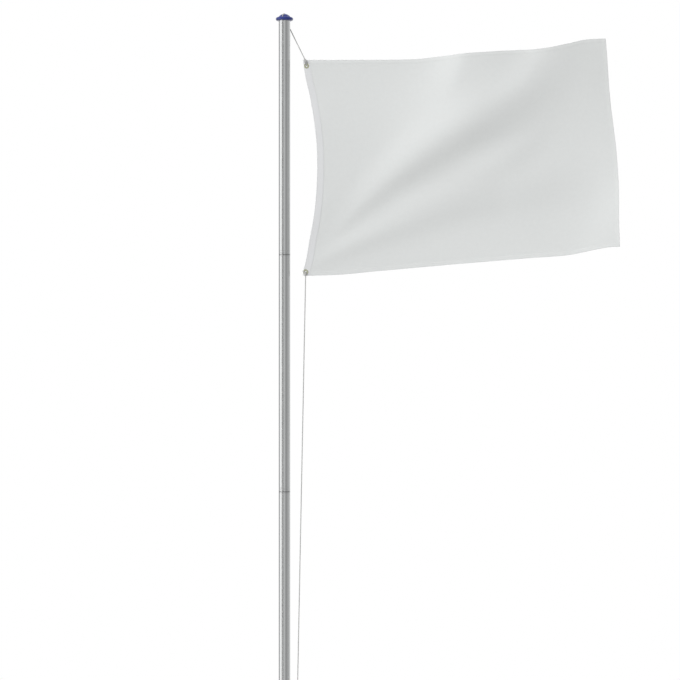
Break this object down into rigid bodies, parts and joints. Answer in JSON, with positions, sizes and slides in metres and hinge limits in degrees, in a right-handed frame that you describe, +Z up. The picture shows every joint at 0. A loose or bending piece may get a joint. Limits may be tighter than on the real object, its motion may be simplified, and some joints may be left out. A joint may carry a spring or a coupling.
{
  "type": "sectional flagpole",
  "caption": "Tall sectional tube flagpole in a ground sleeve, with a mushroom cap, a halyard made fast on a cleat, and a plain flag flying to one side.",
  "frame": {"origin": "centre of the foot's flat underside, at the bottom of the ground sleeve", "axes": "+Z up the mast, +X the way the flag flies, -Y the side with the cleat"},
  "size_m": [1.496, 0.1522, 6.199],
  "materials": {
    "tube_aluminium": "satin anodised",
    "cap_blue": "glossy moulded",
    "sleeve_green": "smooth drawn plastic tube",
    "cleat_plastic": "moulded",
    "rope": "braided",
    "flag_cloth": "woven polyester",
    "eyelet_brass": "dull"
  },
  "bodies": {
    "root": {"sleeve_foot": "sleeve_green", "ground_sleeve": "sleeve_green", "pole_section_1": "tube_aluminium", "pole_section_2": "tube_aluminium", "pole_section_3": "tube_aluminium", "pole_section_4": "tube_aluminium", "pole_section_5": "tube_aluminium", "pole_section_6": "tube_aluminium", "joint_tube_1": "tube_aluminium", "joint_tube_2": "tube_aluminium", "joint_tube_3": "tube_aluminium", "joint_tube_4": "tube_aluminium", "joint_tube_5": "tube_aluminium", "mast_cap": "cap_blue", "halyard_hoist": "rope", "halyard_downhaul": "rope", "upper_knot": "rope", "lower_knot": "rope", "cleat": "cleat_plastic", "cleat_hitch": "rope", "flag_cloth": "flag_cloth", "upper_eyelet": "eyelet_brass", "lower_eyelet": "eyelet_brass"}
  },
  "joints": []
}
